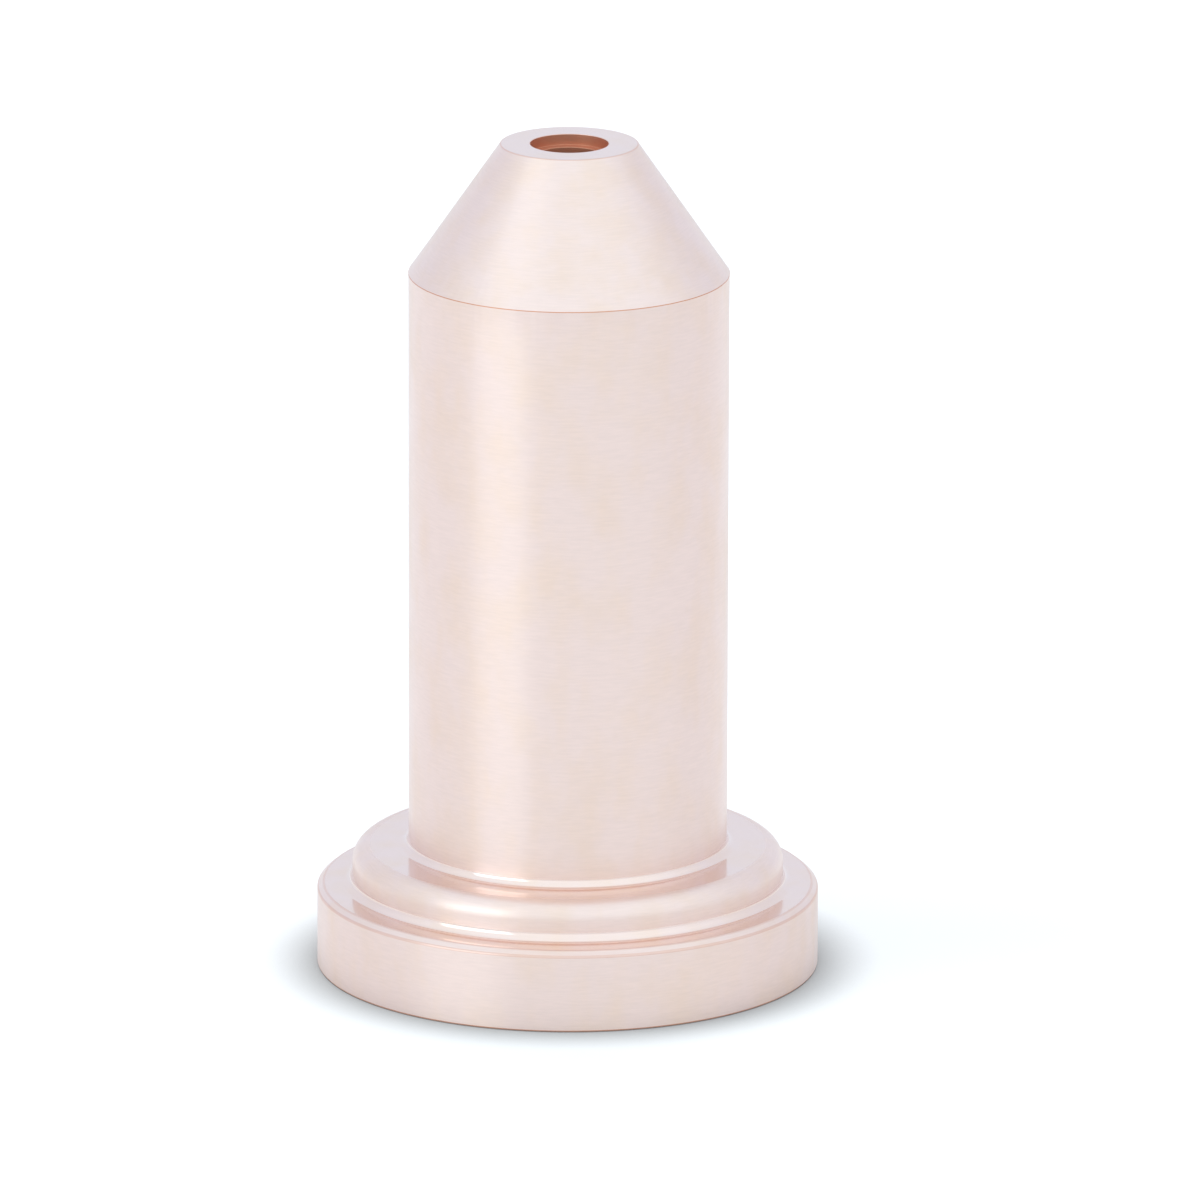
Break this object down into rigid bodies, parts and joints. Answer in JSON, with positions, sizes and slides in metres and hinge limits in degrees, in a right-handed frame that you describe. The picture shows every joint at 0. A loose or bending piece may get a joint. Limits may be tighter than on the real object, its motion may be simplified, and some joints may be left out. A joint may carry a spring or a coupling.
{
  "type": "plasma torch nozzle",
  "caption": "Long-nosed plasma torch nozzle turned from copper: flanged foot, centring ring, straight barrel, tapered nose and an arc outlet fed by an open electrode chamber.",
  "frame": {"origin": "centre of the flange's underside, where the turning axis meets the seat", "axes": "+Z along the turning axis, from the seat towards the tip and the outlet"},
  "size_m": [0.02, 0.02, 0.0336],
  "materials": {
    "turned_copper": "turned and brightened copper: satin walls with fine tool rings, bright faced shoulders"
  },
  "bodies": {
    "root": {"nozzle": "turned_copper"}
  },
  "joints": []
}
